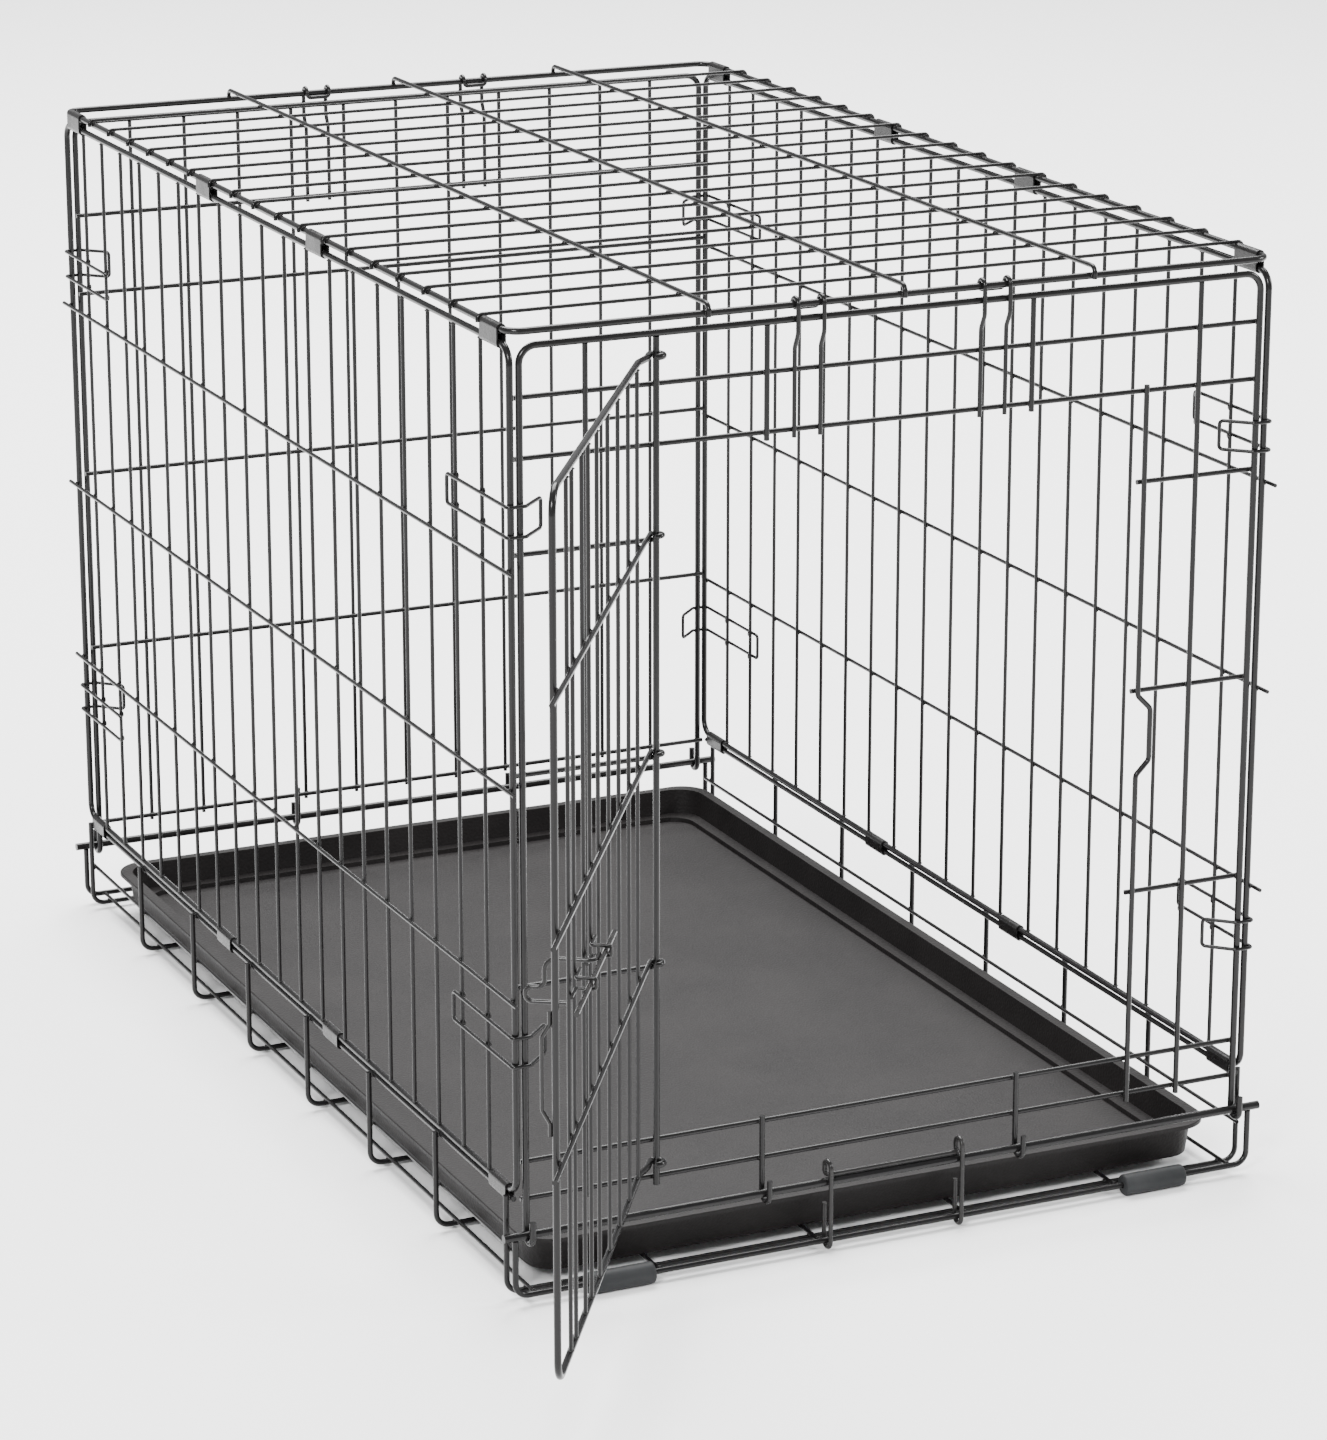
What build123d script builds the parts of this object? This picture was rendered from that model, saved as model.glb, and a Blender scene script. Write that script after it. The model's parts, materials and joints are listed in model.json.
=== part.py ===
from build123d import *

from math import cos, radians, sin
import os

# Folding wire dog crate with one hinged door, a slide-out pan and drop-in end panels.
# Millimetres. Origin on the floor under the middle of the base, +Z up, -Y towards the door,
# +X to the right when facing the door.

# Overall sizes
CRATE_LENGTH = 762.0
CRATE_WIDTH = 483.0
CRATE_HEIGHT = 564.0          # floor to the upper face of the top panel's rails

# Wire diameters
CROSS_WIRE_D = 3.3            # base hoops
FLOOR_WIRE_D = 2.4            # base long wires
RIM_WIRE_D = 3.3
LOWER_FRAME_D = 3.6
ROD_D = 5.0
PANEL_FRAME_D = 4.0
SIDE_WIRE_D = 2.4
END_HORIZONTAL_D = 3.0
END_VERTICAL_D = 3.2
BACK_VERTICAL_D = 2.6
HINGE_WIRE_D = 3.8
TOP_CROSS_D = 2.2
TOP_LONG_D = 2.8
CLIP_WIRE_D = 2.2
TOP_HOOK_D = 2.6
DOOR_FRAME_D = 3.9
DOOR_HORIZONTAL_D = 3.0
DOOR_VERTICAL_D = 2.4
PAN_STOP_D = 2.8
BOLT_D = 3.0
LATCH_HANDLE_D = 2.6
LATCH_GUIDE_D = 2.0
LATCH_GUARD_D = 2.2

# Clearances
WELD_GAP = 0.02               # between wires that are spot-welded where they cross
WRAP_GAP = 0.15               # between a rail and a wire's end bent down over it
LOOSE_FIT = 0.3               # between pieces that move past each other
PIVOT_CLEARANCE = 0.1         # between the hinge wire and the door's rings
SLEEVE_CLEARANCE = 0.1
BEND_MARGIN = 0.01            # straight wire left between two bends of a tight hook

# Base
HOOP_COUNT = 8
HOOP_BEND = 8.0
HOOP_INSET = 10.0             # from the end of the crate to the first hoop
RIM_Z = 62.0
MID_WIRE_Z = 31.0
ROD_Z = 43.0
ROD_OVERHANG = 5.5            # past the side of the crate
LOWER_FRAME_BEND = 8.0
FOOT_D = 13.0
FOOT_ROUND = 1.5
FOOT_LENGTH = 41.0
FOOT_GAP = 4.5                # from the middle floor wire to the foot sleeve
FLOOR_WIRE_SHARES = (0.0994, 0.3106, 0.472)     # of the crate's width, each way from the middle

# Panels
PANEL_BEND = 10.0
RAIL_BEND = 9.0
RAIL_TO_PANEL_GAP = 4.0       # between the top rails and the panels under them
RIM_TO_PANEL_GAP = 1.2        # between the base rim and the side panels
SIDE_VERTICAL_COUNT = 19
SIDE_HORIZONTAL_SHARES = (0.323, 0.541, 0.762)  # of the crate's height
SIDE_WIRE_OVERHANG = 10.0     # past the end wires
CLIP_SHARES = (0.271, 0.812)
CLIP_PRONG_PITCH = 17.0
CLIP_BEND = 2.4
CLIP_RETURN = 15.0            # how far the diagonal return runs back and inwards
TOP_CROSS_COUNT = 18
TOP_CROSS_PITCH_SHARE = 0.0512                  # of the crate's length
TOP_CROSS_SHIFT_SHARE = -0.0151
TOP_LONG_SHARE = 0.2484                         # of the crate's width
TOP_LONG_BEND = 3.8
SLEEVE_LENGTH = 24.0
SLEEVE_WALL = 0.8
MID_SLEEVE_SHARES = (-0.1214, 0.131)
SLEEVE_END_GAP = 0.5          # from a corner's bend to the first sleeve

# End panels
SHORT_WIRE_SHARES = (0.335, 0.554, 0.776)       # of the crate's height
LINTEL_SHARE = 0.871
UPPER_WIRE_SHARE = 0.931
KEEPER_JOG_SHARE = 0.507
SILL_Z = 84.5
BACK_VERTICAL_COUNT = 11
END_WIRE_TAIL = 4.0           # a welded wire's end past the last wire it crosses
FRONT_POST_INSET = 39.0       # panel frame to the first full-height wire
HINGE_INSET = 81.0            # panel frame to the door's hinge wire
KEEPER_INSET = 73.0           # panel frame to the latch keeper wire
KEEPER_JOG = 8.5
KEEPER_JOG_HEIGHT = 40.0
KEEPER_BEND = 4.2
SHORT_POST_SHARE = 0.1718     # of the crate's width
ROD_HOOK_TIP = 9.0            # hook tip above the rod's centre
TOP_HOOK_SHARE = 0.12
TOP_HOOK_PITCH = 16.0
TOP_HOOK_CLEARANCE = 0.4
TOP_HOOK_LEG_BEND = 6.0

# Door
DOOR_OPEN_ANGLE = 122.9       # from shut, as stored
DOOR_TOP_GAP = 12.5           # under the panel's top wire
DOOR_BOTTOM_Z = 71.4
DOOR_EDGE_GAP = 5.0           # free edge to the keeper wire
DOOR_STOP_OVERHANG = 25.0     # horizontals past the free edge
DOOR_CORNER_BEND = 12.0
DOOR_JOG = (8.0, 20.0)        # where the frame steps out from its rings, from the hinge wire
DOOR_VERTICAL_SHARES = (0.133, 0.284, 0.45, 0.61, 0.775, 0.904)     # of the part behind the latch
LATCH_BAR_INSETS = (85.0, 54.0, 37.0)           # uprights round the latch, from the free edge
RING_ARC = 260.0

# Latch
BOLT_DROP = 13.0              # below the middle of the keeper's jog
BOLT_LENGTH = 125.0
HANDLE_INSET = 80.0           # from the free edge
HANDLE_TAIL = 10.4            # welded along the bolt
HANDLE_NECK = 26.0            # from the hinge wire's plane to where it turns down
HANDLE_DROP = 16.0            # from the bolt to the finger lever
HANDLE_REACH = 36.0           # from the hinge wire's plane to the lever's tip
HANDLE_LEVER = 8.0            # height of the lever's hairpin
HANDLE_RETURN = 14.0
HANDLE_NECK_BEND = 7.0
HANDLE_BEND = 3.8
LATCH_GUIDE_INSETS = (95.5, 45.5)
LATCH_GUIDE_REACH = 14.0
LATCH_GUIDE_BEND = 1.2
GUARD_RISE = 1.0              # above the bolt
GUARD_LENGTH = 67.0
GUARD_BOW = 4.0
GUARD_RAMP = 7.0
GUARD_BEND = 3.0

# Pan and its stop
PAN_END_GAP = 11.0            # pan to the ends of the crate
PAN_SIDE_GAP = 15.5
PAN_HEIGHT = 22.5
PAN_WALL = 2.4
PAN_CORNER = 22.0
PAN_DRAFT = 8.0
PAN_LIP = 5.0
PAN_LIP_THICKNESS = 2.5
PAN_LEDGE_WIDTH = 9.0         # ledge inside, along the foot of the walls
PAN_LEDGE_HEIGHT = 3.0
PAN_EDGE_ROUND = 0.8
STOP_SHARE = 0.089            # each leg from the middle, of the crate's width
STOP_HOOK_HEIGHT = 22.0        # of the spring hook above the lower frame's centre
STOP_EYE = 4.2                 # radius of the curled top corners

# Places worked out from the sizes above
hoop_x = CRATE_WIDTH / 2 - CROSS_WIRE_D / 2
rim_x = hoop_x - CROSS_WIRE_D / 2 - RIM_WIRE_D / 2 - WELD_GAP
mid_wire_x = hoop_x - CROSS_WIRE_D / 2 - FLOOR_WIRE_D / 2 - WELD_GAP
side_x = rim_x
side_end_y = CRATE_LENGTH / 2 - PANEL_FRAME_D / 2
end_y = side_end_y
rail_z = CRATE_HEIGHT - PANEL_FRAME_D / 2
panel_top_z = rail_z - PANEL_FRAME_D - RAIL_TO_PANEL_GAP
side_bottom_z = RIM_Z + RIM_WIRE_D / 2 + RIM_TO_PANEL_GAP + PANEL_FRAME_D / 2
lower_frame_z = FOOT_D / 2
floor_top_z = lower_frame_z + LOWER_FRAME_D / 2
floor_wire_z = floor_top_z - FLOOR_WIRE_D / 2
hoop_z = floor_wire_z - FLOOR_WIRE_D / 2 - CROSS_WIRE_D / 2 - WELD_GAP
hook_radius = PANEL_FRAME_D / 2 + LOOSE_FIT + ROD_D / 2
rod_y = end_y + hook_radius
sleeve_half_width = PANEL_FRAME_D / 2 + SLEEVE_CLEARANCE + SLEEVE_WALL
end_frame_x = side_x - sleeve_half_width - 2 * LOOSE_FIT - PANEL_FRAME_D / 2
front_horizontal_y = end_y - (PANEL_FRAME_D + END_HORIZONTAL_D) / 2 - WELD_GAP
front_vertical_y = front_horizontal_y + (END_HORIZONTAL_D + END_VERTICAL_D) / 2 + WELD_GAP
hinge_y = front_horizontal_y + (END_HORIZONTAL_D + HINGE_WIRE_D) / 2 + WELD_GAP
back_vertical_y = front_horizontal_y + (END_HORIZONTAL_D + BACK_VERTICAL_D) / 2 + WELD_GAP
top_hook_y = end_y + (PANEL_FRAME_D + TOP_HOOK_D) / 2 + WELD_GAP
top_hook_radius = PANEL_FRAME_D / 2 + TOP_HOOK_CLEARANCE + TOP_HOOK_D / 2
rail_y = top_hook_y - top_hook_radius
floor_wire_spots = [CRATE_WIDTH * share for share in FLOOR_WIRE_SHARES]
foot_x = floor_wire_spots[1] + FOOT_GAP + FOOT_LENGTH / 2
side_verticals = [(i - (SIDE_VERTICAL_COUNT - 1) / 2) * 2 * side_end_y / (SIDE_VERTICAL_COUNT + 1)
                  for i in range(SIDE_VERTICAL_COUNT)]
top_cross_pitch = CRATE_LENGTH * TOP_CROSS_PITCH_SHARE
top_crosses = [(i - (TOP_CROSS_COUNT - 1) / 2) * top_cross_pitch + CRATE_LENGTH * TOP_CROSS_SHIFT_SHARE
               for i in range(TOP_CROSS_COUNT)]
mid_sleeves = [CRATE_LENGTH * share for share in MID_SLEEVE_SHARES]
corner_sleeve_y = side_end_y - PANEL_BEND - SLEEVE_LENGTH / 2 - SLEEVE_END_GAP
sleeve_spots = (-corner_sleeve_y, *mid_sleeves, corner_sleeve_y)
short_wire_z = [CRATE_HEIGHT * share for share in SHORT_WIRE_SHARES]
lintel_z = CRATE_HEIGHT * LINTEL_SHARE
upper_wire_z = CRATE_HEIGHT * UPPER_WIRE_SHARE
short_post_x = CRATE_WIDTH * SHORT_POST_SHARE
top_hook_x = CRATE_WIDTH * TOP_HOOK_SHARE

hinge_x = -end_frame_x + HINGE_INSET
keeper_x = end_frame_x - KEEPER_INSET
door_edge = keeper_x - hinge_x - DOOR_EDGE_GAP
door_top_z = panel_top_z - DOOR_TOP_GAP
latch_bars = [door_edge - inset for inset in LATCH_BAR_INSETS]
door_bars = [latch_bars[0] * share for share in DOOR_VERTICAL_SHARES] + latch_bars
jog_z = CRATE_HEIGHT * KEEPER_JOG_SHARE
bolt_z = jog_z - BOLT_DROP
bolt_tail = door_edge - BOLT_LENGTH
handle_spot = door_edge - HANDLE_INSET
ring_radius = HINGE_WIRE_D / 2 + PIVOT_CLEARANCE + DOOR_HORIZONTAL_D / 2
frame_ring_radius = HINGE_WIRE_D / 2 + PIVOT_CLEARANCE + DOOR_FRAME_D / 2
door_frame_y = -(ring_radius + (DOOR_HORIZONTAL_D + DOOR_FRAME_D) / 2 + WELD_GAP)
door_vertical_y = -(ring_radius + (DOOR_HORIZONTAL_D + DOOR_VERTICAL_D) / 2 + WELD_GAP)
door_ring_lift = (END_HORIZONTAL_D + DOOR_HORIZONTAL_D) / 2 + LOOSE_FIT
door_plane = Plane(
    origin=(hinge_x, -hinge_y, 0),
    x_dir=(cos(radians(DOOR_OPEN_ANGLE)), -sin(radians(DOOR_OPEN_ANGLE)), 0),
    z_dir=(0, 0, 1),
)
bolt_y = hinge_y - front_vertical_y + END_VERTICAL_D / 2 + LOOSE_FIT + BOLT_D / 2


def bent_wire(points, bends, diameter, plane=Plane.XY, closed=False):
    """One wire bent at each inner point, as formed on a jig; closed is butt-welded to a ring."""
    with BuildPart() as wire:
        with BuildLine(plane) as route:
            FilletPolyline(*points, radius=bends, close=closed)
        with BuildSketch(Plane(origin=route.line @ 0, z_dir=route.line % 0)):
            Circle(diameter / 2)
        sweep()
    return wire.part


def frame_ring(half_width, half_height, bend, plane):
    """A rectangular ring of panel wire with rounded corners."""
    corners = [(-half_width, -half_height), (half_width, -half_height),
               (half_width, half_height), (-half_width, half_height)]
    return bent_wire(corners, bend, PANEL_FRAME_D, plane, closed=True)


def save(part, name):
    """Name one finished piece and write it as its own file."""
    part.label = name
    export_step(part, f"parts/{name}.step")


os.makedirs("parts", exist_ok=True)

# ---------------------------------------------------------------- base
hoop_half = CRATE_LENGTH / 2 - HOOP_INSET
hoop_pitch = 2 * hoop_half / (HOOP_COUNT - 1)
hoop_tip_z = RIM_Z + RIM_WIRE_D / 2
base_hoop = bent_wire(
    [(-hoop_x, 0, hoop_tip_z), (-hoop_x, 0, hoop_z), (hoop_x, 0, hoop_z), (hoop_x, 0, hoop_tip_z)],
    HOOP_BEND, CROSS_WIRE_D)
with BuildPart() as base_hoops:
    with Locations(*[(0, -hoop_half + i * hoop_pitch, 0) for i in range(HOOP_COUNT)]):
        add(base_hoop)
save(base_hoops.part, "base_hoops")

floor_wire_half = rod_y - LOWER_FRAME_D / 2 - WELD_GAP
with BuildPart() as base_floor_wires:
    with Locations(*[(side * x, 0, floor_wire_z) for x in floor_wire_spots for side in (-1, 1)]):
        Cylinder(FLOOR_WIRE_D / 2, 2 * floor_wire_half, rotation=(90, 0, 0))
save(base_floor_wires.part, "base_floor_wires")

with BuildPart() as base_rim_wires:
    with Locations((-rim_x, 0, RIM_Z), (rim_x, 0, RIM_Z)):
        Cylinder(RIM_WIRE_D / 2, 2 * (hoop_half + CROSS_WIRE_D), rotation=(90, 0, 0))
save(base_rim_wires.part, "base_rim_wires")

with BuildPart() as base_mid_wires:
    with Locations((-mid_wire_x, 0, MID_WIRE_Z), (mid_wire_x, 0, MID_WIRE_Z)):
        Cylinder(FLOOR_WIRE_D / 2, 2 * (hoop_half + 2 * CROSS_WIRE_D), rotation=(90, 0, 0))
save(base_mid_wires.part, "base_mid_wires")

rod_half = CRATE_WIDTH / 2 + ROD_OVERHANG
lower_frame_tip_z = ROD_Z - ROD_D / 2 - WELD_GAP


def end_rod(y):
    with BuildPart() as rod:
        with Locations((0, y, ROD_Z)):
            Cylinder(ROD_D / 2, 2 * rod_half, rotation=(0, 90, 0))
    return rod.part


def lower_frame(y):
    """The wire under an end rod: up at both corners, where it carries the rod."""
    return bent_wire(
        [(-hoop_x, y, lower_frame_tip_z), (-hoop_x, y, lower_frame_z),
         (hoop_x, y, lower_frame_z), (hoop_x, y, lower_frame_tip_z)],
        LOWER_FRAME_BEND, LOWER_FRAME_D)


save(end_rod(-rod_y), "front_rod")
save(end_rod(rod_y), "back_rod")
save(lower_frame(-rod_y), "front_lower_frame")
save(lower_frame(rod_y), "back_lower_frame")

foot_spots = [(sx * foot_x, sy * rod_y, lower_frame_z) for sx in (-1, 1) for sy in (-1, 1)]
with BuildPart() as foot_sleeves:
    with Locations(*foot_spots):
        Cylinder(FOOT_D / 2, FOOT_LENGTH, rotation=(0, 90, 0))
    fillet(foot_sleeves.edges().filter_by(GeomType.CIRCLE), FOOT_ROUND)
    with Locations(*foot_spots):
        Cylinder(LOWER_FRAME_D / 2 + WELD_GAP, FOOT_LENGTH, rotation=(0, 90, 0), mode=Mode.SUBTRACT)
save(foot_sleeves.part, "foot_sleeves")

# ---------------------------------------------------------------- pan and pan stop
pan_z = floor_top_z + LOOSE_FIT
pan_slope = PAN_HEIGHT * sin(radians(PAN_DRAFT)) / cos(radians(PAN_DRAFT))
pan_floor_corner = PAN_CORNER - PAN_LIP
ledge_share = (PAN_WALL + PAN_LEDGE_HEIGHT) / PAN_HEIGHT
ledge_inset = PAN_LIP + pan_slope * (1 - ledge_share) + PAN_WALL


def pan_outline(inset):
    """Sizes of the tray's outline, a given distance inside its lip."""
    return (CRATE_WIDTH - 2 * (PAN_SIDE_GAP + inset), CRATE_LENGTH - 2 * (PAN_END_GAP + inset))


with BuildPart() as pan:
    with BuildSketch(Plane.XY.offset(pan_z)):
        RectangleRounded(*pan_outline(PAN_LIP + pan_slope), pan_floor_corner)
    extrude(amount=PAN_HEIGHT, taper=-PAN_DRAFT)
    with BuildSketch(Plane.XY.offset(pan_z + PAN_HEIGHT - PAN_LIP_THICKNESS)):
        RectangleRounded(*pan_outline(0), PAN_CORNER)
    extrude(amount=PAN_LIP_THICKNESS)
    lip_edges = pan.edges().filter_by_position(Axis.Z, pan_z + PAN_HEIGHT, pan_z + PAN_HEIGHT)
    fillet(lip_edges, PAN_EDGE_ROUND)
    with BuildSketch(Plane.XY.offset(pan_z + PAN_WALL + PAN_LEDGE_HEIGHT)):
        RectangleRounded(*pan_outline(ledge_inset), pan_floor_corner)
    extrude(amount=PAN_HEIGHT, taper=-PAN_DRAFT, mode=Mode.SUBTRACT)
    with BuildSketch(Plane.XY.offset(pan_z + PAN_WALL)):
        RectangleRounded(*pan_outline(ledge_inset + PAN_LEDGE_WIDTH), pan_floor_corner)
    extrude(amount=PAN_HEIGHT, taper=-PAN_DRAFT, mode=Mode.SUBTRACT)
save(pan.part, "pan")

stop_y = rod_y + ROD_D / 2 + LOOSE_FIT + PAN_STOP_D / 2
stop_radius = stop_y - rod_y
stop_bar_z = ROD_Z + ROD_D / 2 + LOOSE_FIT + PAN_STOP_D / 2
stop_top_z = stop_bar_z + 2 * STOP_EYE
stop_x = CRATE_WIDTH * STOP_SHARE
stop_half = [
    (stop_x, -(rod_y - stop_radius), lower_frame_z + STOP_HOOK_HEIGHT),
    (stop_x, -(rod_y - stop_radius), lower_frame_z - stop_radius),
    (stop_x, -stop_y, lower_frame_z - stop_radius),
    (stop_x, -stop_y, stop_top_z),
    (stop_x, -stop_y + 2 * STOP_EYE, stop_top_z),
    (stop_x, -stop_y + 2 * STOP_EYE, stop_bar_z),
    (stop_x, -stop_y + STOP_EYE, stop_bar_z),
]
stop_hook_bend = stop_radius - BEND_MARGIN
stop_eye_bend = STOP_EYE - BEND_MARGIN
stop_bar_bend = STOP_EYE / 2 - BEND_MARGIN
stop_half_bends = [stop_hook_bend, stop_hook_bend, stop_eye_bend, stop_eye_bend,
                   stop_bar_bend, stop_bar_bend]
stop_points = stop_half + [(-x, y, z) for x, y, z in reversed(stop_half)]
save(bent_wire(stop_points, stop_half_bends + stop_half_bends[::-1], PAN_STOP_D), "pan_stop")

# ---------------------------------------------------------------- side panels
side_wire_x = side_x + (PANEL_FRAME_D + SIDE_WIRE_D) / 2 + WELD_GAP
side_vertical_x = side_wire_x - SIDE_WIRE_D - WELD_GAP
side_vertical_low = side_bottom_z + PANEL_FRAME_D / 2 + WELD_GAP
side_vertical_high = panel_top_z - PANEL_FRAME_D / 2 - WELD_GAP
clip_x = side_vertical_x + (SIDE_WIRE_D + CLIP_WIRE_D) / 2 + WELD_GAP
clip_front_y = side_end_y + (PANEL_FRAME_D + CLIP_WIRE_D) / 2 + LOOSE_FIT
clip_turn_x = end_frame_x - CLIP_WIRE_D
clip_tail_y = side_verticals[-2] - 3 * SIDE_WIRE_D
clip_z = [CRATE_HEIGHT * share for share in CLIP_SHARES]
side_horizontal_z = [CRATE_HEIGHT * share for share in SIDE_HORIZONTAL_SHARES]


def side_frame(side):
    plane = Plane(origin=(side * side_x, 0, (panel_top_z + side_bottom_z) / 2),
                  x_dir=(0, 1, 0), z_dir=(1, 0, 0))
    return frame_ring(side_end_y, (panel_top_z - side_bottom_z) / 2, PANEL_BEND, plane)


def side_vertical_wires(side):
    with BuildPart() as wires:
        with Locations(*[(side * side_vertical_x, y, (side_vertical_low + side_vertical_high) / 2)
                         for y in side_verticals]):
            Cylinder(SIDE_WIRE_D / 2, side_vertical_high - side_vertical_low)
    return wires.part


def side_horizontal_wires(side):
    with BuildPart() as wires:
        with Locations(*[(side * side_wire_x, 0, z) for z in side_horizontal_z]):
            Cylinder(SIDE_WIRE_D / 2, 2 * (side_end_y + SIDE_WIRE_OVERHANG), rotation=(90, 0, 0))
    return wires.part


def corner_clip(side, end, z):
    """A closed spring loop: along the panel, round the corner, back on the slant."""
    low = z - CLIP_PRONG_PITCH / 2
    high = z + CLIP_PRONG_PITCH / 2
    tail = (side * clip_x, end * clip_tail_y)
    corner = (side * clip_x, end * clip_front_y)
    turn = (side * clip_turn_x, end * clip_front_y)
    tip = (side * (clip_turn_x - CLIP_RETURN), end * (clip_front_y - CLIP_RETURN))
    loop = [(*tail, high), (*corner, high), (*turn, high), (*tip, high),
            (*tip, low), (*turn, low), (*corner, low), (*tail, low)]
    return bent_wire(loop, CLIP_BEND, CLIP_WIRE_D, closed=True)


def corner_clips(side):
    with BuildPart() as clips:
        for end in (-1, 1):
            for z in clip_z:
                add(corner_clip(side, end, z))
    return clips.part


for side_name, side in (("left", -1), ("right", 1)):
    save(side_frame(side), f"{side_name}_side_frame")
    save(side_vertical_wires(side), f"{side_name}_side_vertical_wires")
    save(side_horizontal_wires(side), f"{side_name}_side_horizontal_wires")
    save(corner_clips(side), f"{side_name}_corner_clips")

# ---------------------------------------------------------------- top panel
save(frame_ring(side_x, rail_y, RAIL_BEND, Plane.XY.offset(rail_z)), "top_frame")

top_cross_z = rail_z + (PANEL_FRAME_D + TOP_CROSS_D) / 2 + WELD_GAP
top_cross_x = side_x + (PANEL_FRAME_D + TOP_CROSS_D) / 2 + WRAP_GAP
top_cross_bend = TOP_CROSS_D / 2 + PANEL_FRAME_D / 2 - WRAP_GAP
top_cross_tip_z = rail_z - PANEL_FRAME_D / 4


def top_cross_wire(diameter):
    """One cross wire, its ends turned down over the side rails."""
    return bent_wire(
        [(-top_cross_x, 0, top_cross_tip_z), (-top_cross_x, 0, top_cross_z),
         (top_cross_x, 0, top_cross_z), (top_cross_x, 0, top_cross_tip_z)],
        top_cross_bend, diameter)


cross_wire = top_cross_wire(TOP_CROSS_D)
with BuildPart() as top_cross_wires:
    with Locations(*[(0, y, 0) for y in top_crosses]):
        add(cross_wire)
save(top_cross_wires.part, "top_cross_wires")

top_long_z = top_cross_z + (TOP_CROSS_D + TOP_LONG_D) / 2 + WELD_GAP
top_long_pitch = CRATE_WIDTH * TOP_LONG_SHARE
top_long_y = rail_y + (PANEL_FRAME_D + TOP_LONG_D) / 2 + WELD_GAP
long_wire = bent_wire(
    [(0, -top_long_y, rail_z - TOP_LONG_D / 2), (0, -top_long_y, top_long_z),
     (0, top_long_y, top_long_z), (0, top_long_y, rail_z - TOP_LONG_D / 2)],
    TOP_LONG_BEND, TOP_LONG_D)
with BuildPart() as top_long_wires:
    with Locations((-top_long_pitch, 0, 0), (0, 0, 0), (top_long_pitch, 0, 0)):
        add(long_wire)
save(top_long_wires.part, "top_long_wires")

# ---------------------------------------------------------------- hinge sleeves
relief_wire = top_cross_wire(TOP_CROSS_D + 2 * LOOSE_FIT)


def hinge_sleeves(side, z_low, z_high):
    """Crimped bands that hold two wires side by side, so that the panels can turn."""
    mid_z = (z_low + z_high) / 2
    inner = PANEL_FRAME_D + 2 * SLEEVE_CLEARANCE
    outer = inner + 2 * SLEEVE_WALL
    with BuildPart() as sleeves:
        for y in sleeve_spots:
            with BuildSketch(Plane(origin=(side * side_x, y - SLEEVE_LENGTH / 2, mid_z),
                                   x_dir=(0, 0, 1), z_dir=(0, 1, 0))):
                SlotCenterToCenter(z_high - z_low, outer)
                SlotCenterToCenter(z_high - z_low, inner, mode=Mode.SUBTRACT)
            extrude(amount=SLEEVE_LENGTH)
        with Locations(*[(0, y, 0) for y in top_crosses]):
            add(relief_wire, mode=Mode.SUBTRACT)
        with Locations(*[(side * side_vertical_x, y, (side_bottom_z + panel_top_z) / 2)
                         for y in side_verticals]):
            Cylinder(SIDE_WIRE_D / 2 + LOOSE_FIT, side_vertical_high - side_vertical_low,
                     mode=Mode.SUBTRACT)
    return sleeves.part


for side_name, side in (("left", -1), ("right", 1)):
    save(hinge_sleeves(side, panel_top_z, rail_z), f"top_{side_name}_hinge_sleeves")
    save(hinge_sleeves(side, RIM_Z, side_bottom_z), f"bottom_{side_name}_hinge_sleeves")

# ---------------------------------------------------------------- end panels
rod_hook_bend = hook_radius - BEND_MARGIN
end_wire_half = end_frame_x + PANEL_FRAME_D / 2 + WELD_GAP


def rod_hook(x, end, y):
    """The lower end of an upright, from its hook's tip, under the rod, to the upright."""
    reach = 2 * (rod_y - y)
    return [(x, end * (y + reach), ROD_Z + ROD_HOOK_TIP), (x, end * (y + reach), ROD_Z - reach / 2),
            (x, end * y, ROD_Z - reach / 2)]


def end_frame(end):
    left = rod_hook(-end_frame_x, end, end_y)
    right = rod_hook(end_frame_x, end, end_y)
    corners = [(-end_frame_x, end * end_y, panel_top_z), (end_frame_x, end * end_y, panel_top_z)]
    bends = [rod_hook_bend, rod_hook_bend, PANEL_BEND, PANEL_BEND, rod_hook_bend, rod_hook_bend]
    return bent_wire(left + corners + right[::-1], bends, PANEL_FRAME_D)


def end_horizontal_wires(end, heights):
    with BuildPart() as wires:
        with Locations(*[(0, end * front_horizontal_y, z) for z in heights]):
            Cylinder(END_HORIZONTAL_D / 2, 2 * end_wire_half, rotation=(0, 90, 0))
    return wires.part


def top_hooks(end):
    """Two hairpins that grip the top panel's end rail from above."""
    start_y = front_horizontal_y + (END_HORIZONTAL_D + TOP_HOOK_D) / 2 + WELD_GAP
    inner_y = top_hook_y - 2 * top_hook_radius
    crown_z = rail_z + top_hook_radius
    tip_z = rail_z - TOP_HOOK_D
    bend_low_z = panel_top_z - 4 * PANEL_FRAME_D
    bend_high_z = panel_top_z - 2 * PANEL_FRAME_D
    leg = [(start_y, lintel_z - END_WIRE_TAIL), (start_y, bend_low_z), (top_hook_y, bend_high_z),
           (top_hook_y, crown_z), (inner_y, crown_z), (inner_y, tip_z)]
    crown_bend = top_hook_radius - BEND_MARGIN
    bends = [TOP_HOOK_LEG_BEND, TOP_HOOK_LEG_BEND, crown_bend, crown_bend, TOP_HOOK_D]
    with BuildPart() as hooks:
        for x in (-top_hook_x, top_hook_x):
            there = [(x - TOP_HOOK_PITCH / 2, end * y, z) for y, z in leg]
            back = [(x + TOP_HOOK_PITCH / 2, end * y, z) for y, z in reversed(leg)]
            add(bent_wire(there + back, bends + bends[::-1], TOP_HOOK_D))
    return hooks.part


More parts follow.
